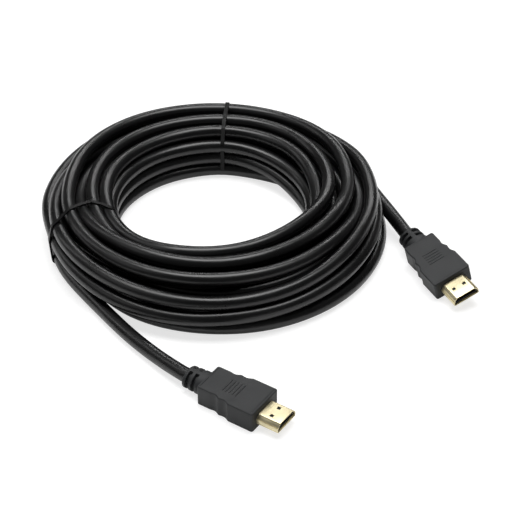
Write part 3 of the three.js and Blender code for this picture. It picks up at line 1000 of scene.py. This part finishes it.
    def build(self, finishes: list[bpy.types.Material]) -> list[bpy.types.Object]:
        """Builds and dresses the plug.

        Args:
            finishes: materials of the body, the shell, the insulator and the contacts.

        Returns:
            The pieces made here.
        """
        grey, gold, black, strip = finishes
        vertices, faces = merged(self.body_skin(), self.relief_skin(), self.grip_skin())
        body = mesh_piece(f"{self.prefix}_body", self.at(vertices), faces, grey, "plug_overmould", 35)
        body.modifiers.new("even_shading", "WEIGHTED_NORMAL").keep_sharp = True
        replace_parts(body, f"{self.prefix}_overmould")
        vertices, faces = self.shell_skin()
        shell = mesh_piece(f"{self.prefix}_can", self.at(vertices), faces, gold, "plug_shell", 30)
        self.cut_latches(shell)
        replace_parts(shell, f"{self.prefix}_shell")
        for part, finish in (("insulator", black), ("contact", strip)):
            for name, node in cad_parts.items():
                if name.startswith(f"{self.prefix}_{part}"):
                    for slot in node.material_slots:
                        slot.material = finish
        return [body, shell]

    def cut_latches(self, shell: bpy.types.Object) -> None:
        """Cuts the two square latch holes through the top of the shell.

        Args:
            shell: the shell, which this changes.
        """
        work = bmesh.new()
        height = (self.shell_height - self.shell_wall) / 2
        for side in (-1, 1):
            centre = Vector((self.latch_at, side * self.latch_spacing / 2, height))
            size = Matrix.Diagonal((self.latch_hole, self.latch_hole, self.shell_wall * 3, 1))
            bmesh.ops.create_cube(work, size=1, matrix=self.place @ Matrix.Translation(centre) @ size)
        mesh = bpy.data.meshes.new("latch_cutter")
        work.to_mesh(mesh)
        work.free()
        cutter = linked("latch_cutter", mesh)
        cut = shell.modifiers.new("latch_holes", "BOOLEAN")
        cut.operation, cut.object, cut.solver = "DIFFERENCE", cutter, "EXACT"
        depsgraph = bpy.context.evaluated_depsgraph_get()
        done = bpy.data.meshes.new_from_object(shell.evaluated_get(depsgraph))
        shell.modifiers.remove(cut)
        shell.data = done
        bpy.data.objects.remove(cutter)


@dataclass
class Studio:
    """The pale table, the soft lights and the camera at the photograph's angle.

    Attributes:
        centre: where the coil's axis meets the table.
        lens: focal length on a 36 mm wide sensor.
        distance: camera distance from what it looks at.
        elevation: camera height as an angle above the table, in degrees.
        aim: what the camera looks at, as an offset from the coil's axis.
        room: brightness of the dim room around the lights.
        table_paint: share of light that the table gives back, to the cable and to the camera.
        table_glow: light of the table itself, in what the cable mirrors and in what the camera sees.
        lamps: name, offset from the coil's axis, width, height as a share of it, and watts.
    """

    centre: np.ndarray
    lens: float = 105.47
    distance: float = 0.750
    elevation: float = 36.8
    aim: tuple[float, float, float] = (0.0212, -0.0231, 0.0)
    room: float = 0.10
    table_paint: tuple[float, float] = (0.85, 0.38)
    table_glow: tuple[float, float] = (0.30, 0.72)
    lamps: tuple[tuple[str, tuple[float, float, float], float, float, float], ...] = (
        ("overhead", (0.0, 0.12, 1.1), 0.85, 0.62, 13.0),
        ("left_strip", (-1.0, 0.35, 0.75), 0.16, 6.0, 1.6),
        ("back_strip", (0.15, 1.1, 0.85), 1.0, 0.08, 4.0),
        ("left_card", (-0.9, -0.35, 0.85), 0.6, 1.0, 0.9),
    )

    def camera(self) -> None:
        """Sets the camera."""
        lens = bpy.data.cameras.new("camera")
        lens.lens, lens.sensor_width = self.lens, 36.0
        lens.clip_start, lens.clip_end = 0.01, 20
        made = linked("camera", lens)
        tilt = math.radians(self.elevation)
        back = Vector((0, -math.cos(tilt), math.sin(tilt))) * self.distance
        made.location = Vector(self.centre) + Vector(self.aim) + back
        made.rotation_euler = (math.pi / 2 - tilt, 0, 0)
        bpy.context.scene.camera = made

    def table(self) -> None:
        """Lays the white table, whose shadows look paler to the camera than to the cable."""
        bpy.ops.mesh.primitive_plane_add(size=8)
        plane = bpy.context.object
        plane.name = "table"
        paint = bpy.data.materials.new("white_table")
        paint.use_nodes = True
        nodes, links = paint.node_tree.nodes, paint.node_tree.links
        shader = nodes["Principled BSDF"]
        fill(shader, {"Roughness": 0.8, "Specular IOR Level": 0.0, "Emission Color": (1, 1, 1, 1)})
        eye = nodes.new("ShaderNodeLightPath")
        seen = nodes.new("ShaderNodeMix")
        seen.data_type = "RGBA"
        fill(seen, {socket: (grey, grey, grey, 1) for socket, grey in zip("AB", self.table_paint)})
        lift = nodes.new("ShaderNodeMath")
        lift.operation = "MULTIPLY_ADD"
        lift.inputs[1].default_value = self.table_glow[1] - self.table_glow[0]
        lift.inputs[2].default_value = self.table_glow[0]
        links.new(eye.outputs["Is Camera Ray"], seen.inputs["Factor"])
        links.new(seen.outputs["Result"], shader.inputs["Base Color"])
        links.new(eye.outputs["Is Camera Ray"], lift.inputs[0])
        links.new(lift.outputs["Value"], shader.inputs["Emission Strength"])
        plane.data.materials.append(paint)

    def lights(self) -> None:
        """Hangs the soft lights."""
        for name, offset, size, stretch, watts in self.lamps:
            lamp = bpy.data.lights.new(name, "AREA")
            lamp.shape, lamp.size, lamp.size_y, lamp.energy = "RECTANGLE", size, size * stretch, watts
            made = linked(name, lamp)
            made.location = Vector(self.centre) + Vector(offset)
            made.rotation_euler = Vector(offset).to_track_quat("Z", "Y").to_euler()
        world = bpy.data.worlds.new("dim_room")
        world.use_nodes = True
        fill(world.node_tree.nodes["Background"], {"Color": (1, 1, 1, 1), "Strength": self.room})
        bpy.context.scene.world = world
        bpy.context.scene.view_settings.view_transform = "Standard"


def main() -> None:
    """Builds the camera, the cable, its ties, its plugs, the table and the lights, in that order."""
    logging.basicConfig(level=logging.INFO, format="%(name)s %(message)s")
    jacket = Jacket()
    studio = Studio(jacket.centre)
    studio.camera()
    plug_a = Plug("plug_a", yaw=-34.0)
    plug_b = Plug("plug_b", yaw=-62.9, pitch=2.0, roll=17.0)
    end_a = plug_a.cable_end(jacket.seat_depth)
    end_b = plug_b.cable_end(jacket.seat_depth)
    cable, path = jacket.build(JACKET.material(), end_a, end_b)
    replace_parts(cable, "cable_coil", "cable_tail_a", "cable_tail_b")
    wire = TIE.material()
    back, left = jacket.tie_angles
    ties = [
        TwistTie("back_tie", "tie_back", back, Side.OUTSIDE, 0.015).build(jacket, wire),
        TwistTie("left_tie", "tie_left", left, Side.BORE, 0.009, lean=LEFT_LEAN).build(jacket, wire),
    ]
    finishes = [finish.material() for finish in (OVERMOULD, PLATING, INSULATOR, CONTACT)]
    plugs = plug_a.build(finishes) + plug_b.build(finishes)
    studio.table()
    studio.lights()


if __name__ == "__main__":
    main()
